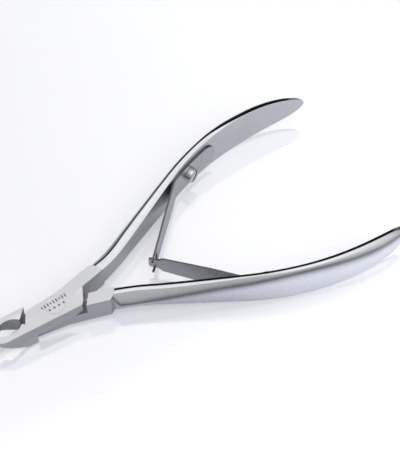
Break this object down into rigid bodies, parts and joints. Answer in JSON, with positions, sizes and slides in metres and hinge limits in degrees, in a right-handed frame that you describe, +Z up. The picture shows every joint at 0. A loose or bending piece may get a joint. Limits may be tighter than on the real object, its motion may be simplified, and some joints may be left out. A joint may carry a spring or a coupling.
{
  "type": "cuticle nipper",
  "caption": "Steel hand nipper with short cutting jaws, a lap joint, curved handles and crossed leaf springs that push the handles open.",
  "frame": {"origin": "pivot axis at the underside of the joint, levers at rest with the jaws open", "axes": "+X from the pivot towards the handle ends, midway between them; +Z up along the pivot axis; +Y towards the back handle"},
  "size_m": [0.1004, 0.0542, 0.0111],
  "materials": {
    "lever_steel": "satin ground joint, polished handles",
    "spring_steel": "rolled spring strip",
    "screw_steel": "polished"
  },
  "bodies": {
    "bottom": {"bottom_lever": "lever_steel", "pivot_rivet": "lever_steel", "front_spring_foot": "spring_steel", "front_spring_screw": "screw_steel"},
    "top": {"top_lever": "lever_steel", "rear_spring_foot": "spring_steel", "rear_spring_screw": "screw_steel"},
    "rear_arm": {"rear_spring_arm": "spring_steel"},
    "front_arm": {"front_spring_arm": "spring_steel"}
  },
  "joints": [
    {"name": "pivot", "type": "hinge", "parent": "bottom", "child": "top", "pos_m": [0, 0, 0.00325], "axis": [0, 0, 1], "range_deg": [-7.3, 0], "stiffness_Nm_per_rad": 2},
    {"name": "rear_spring_flex", "type": "hinge", "parent": "top", "child": "rear_arm", "pos_m": [0.04131, 0.01593, 0.00325], "axis": [0, 0, 1], "range_deg": [-6, 0]},
    {"name": "front_spring_flex", "type": "hinge", "parent": "bottom", "child": "front_arm", "pos_m": [0.04131, -0.01593, 0.00325], "axis": [0, 0, 1], "range_deg": [0, 6]}
  ],
  "couplings": [
    {"joint": "rear_spring_flex", "follows": "pivot", "ratio": 0.8},
    {"joint": "front_spring_flex", "follows": "pivot", "ratio": -0.8}
  ]
}
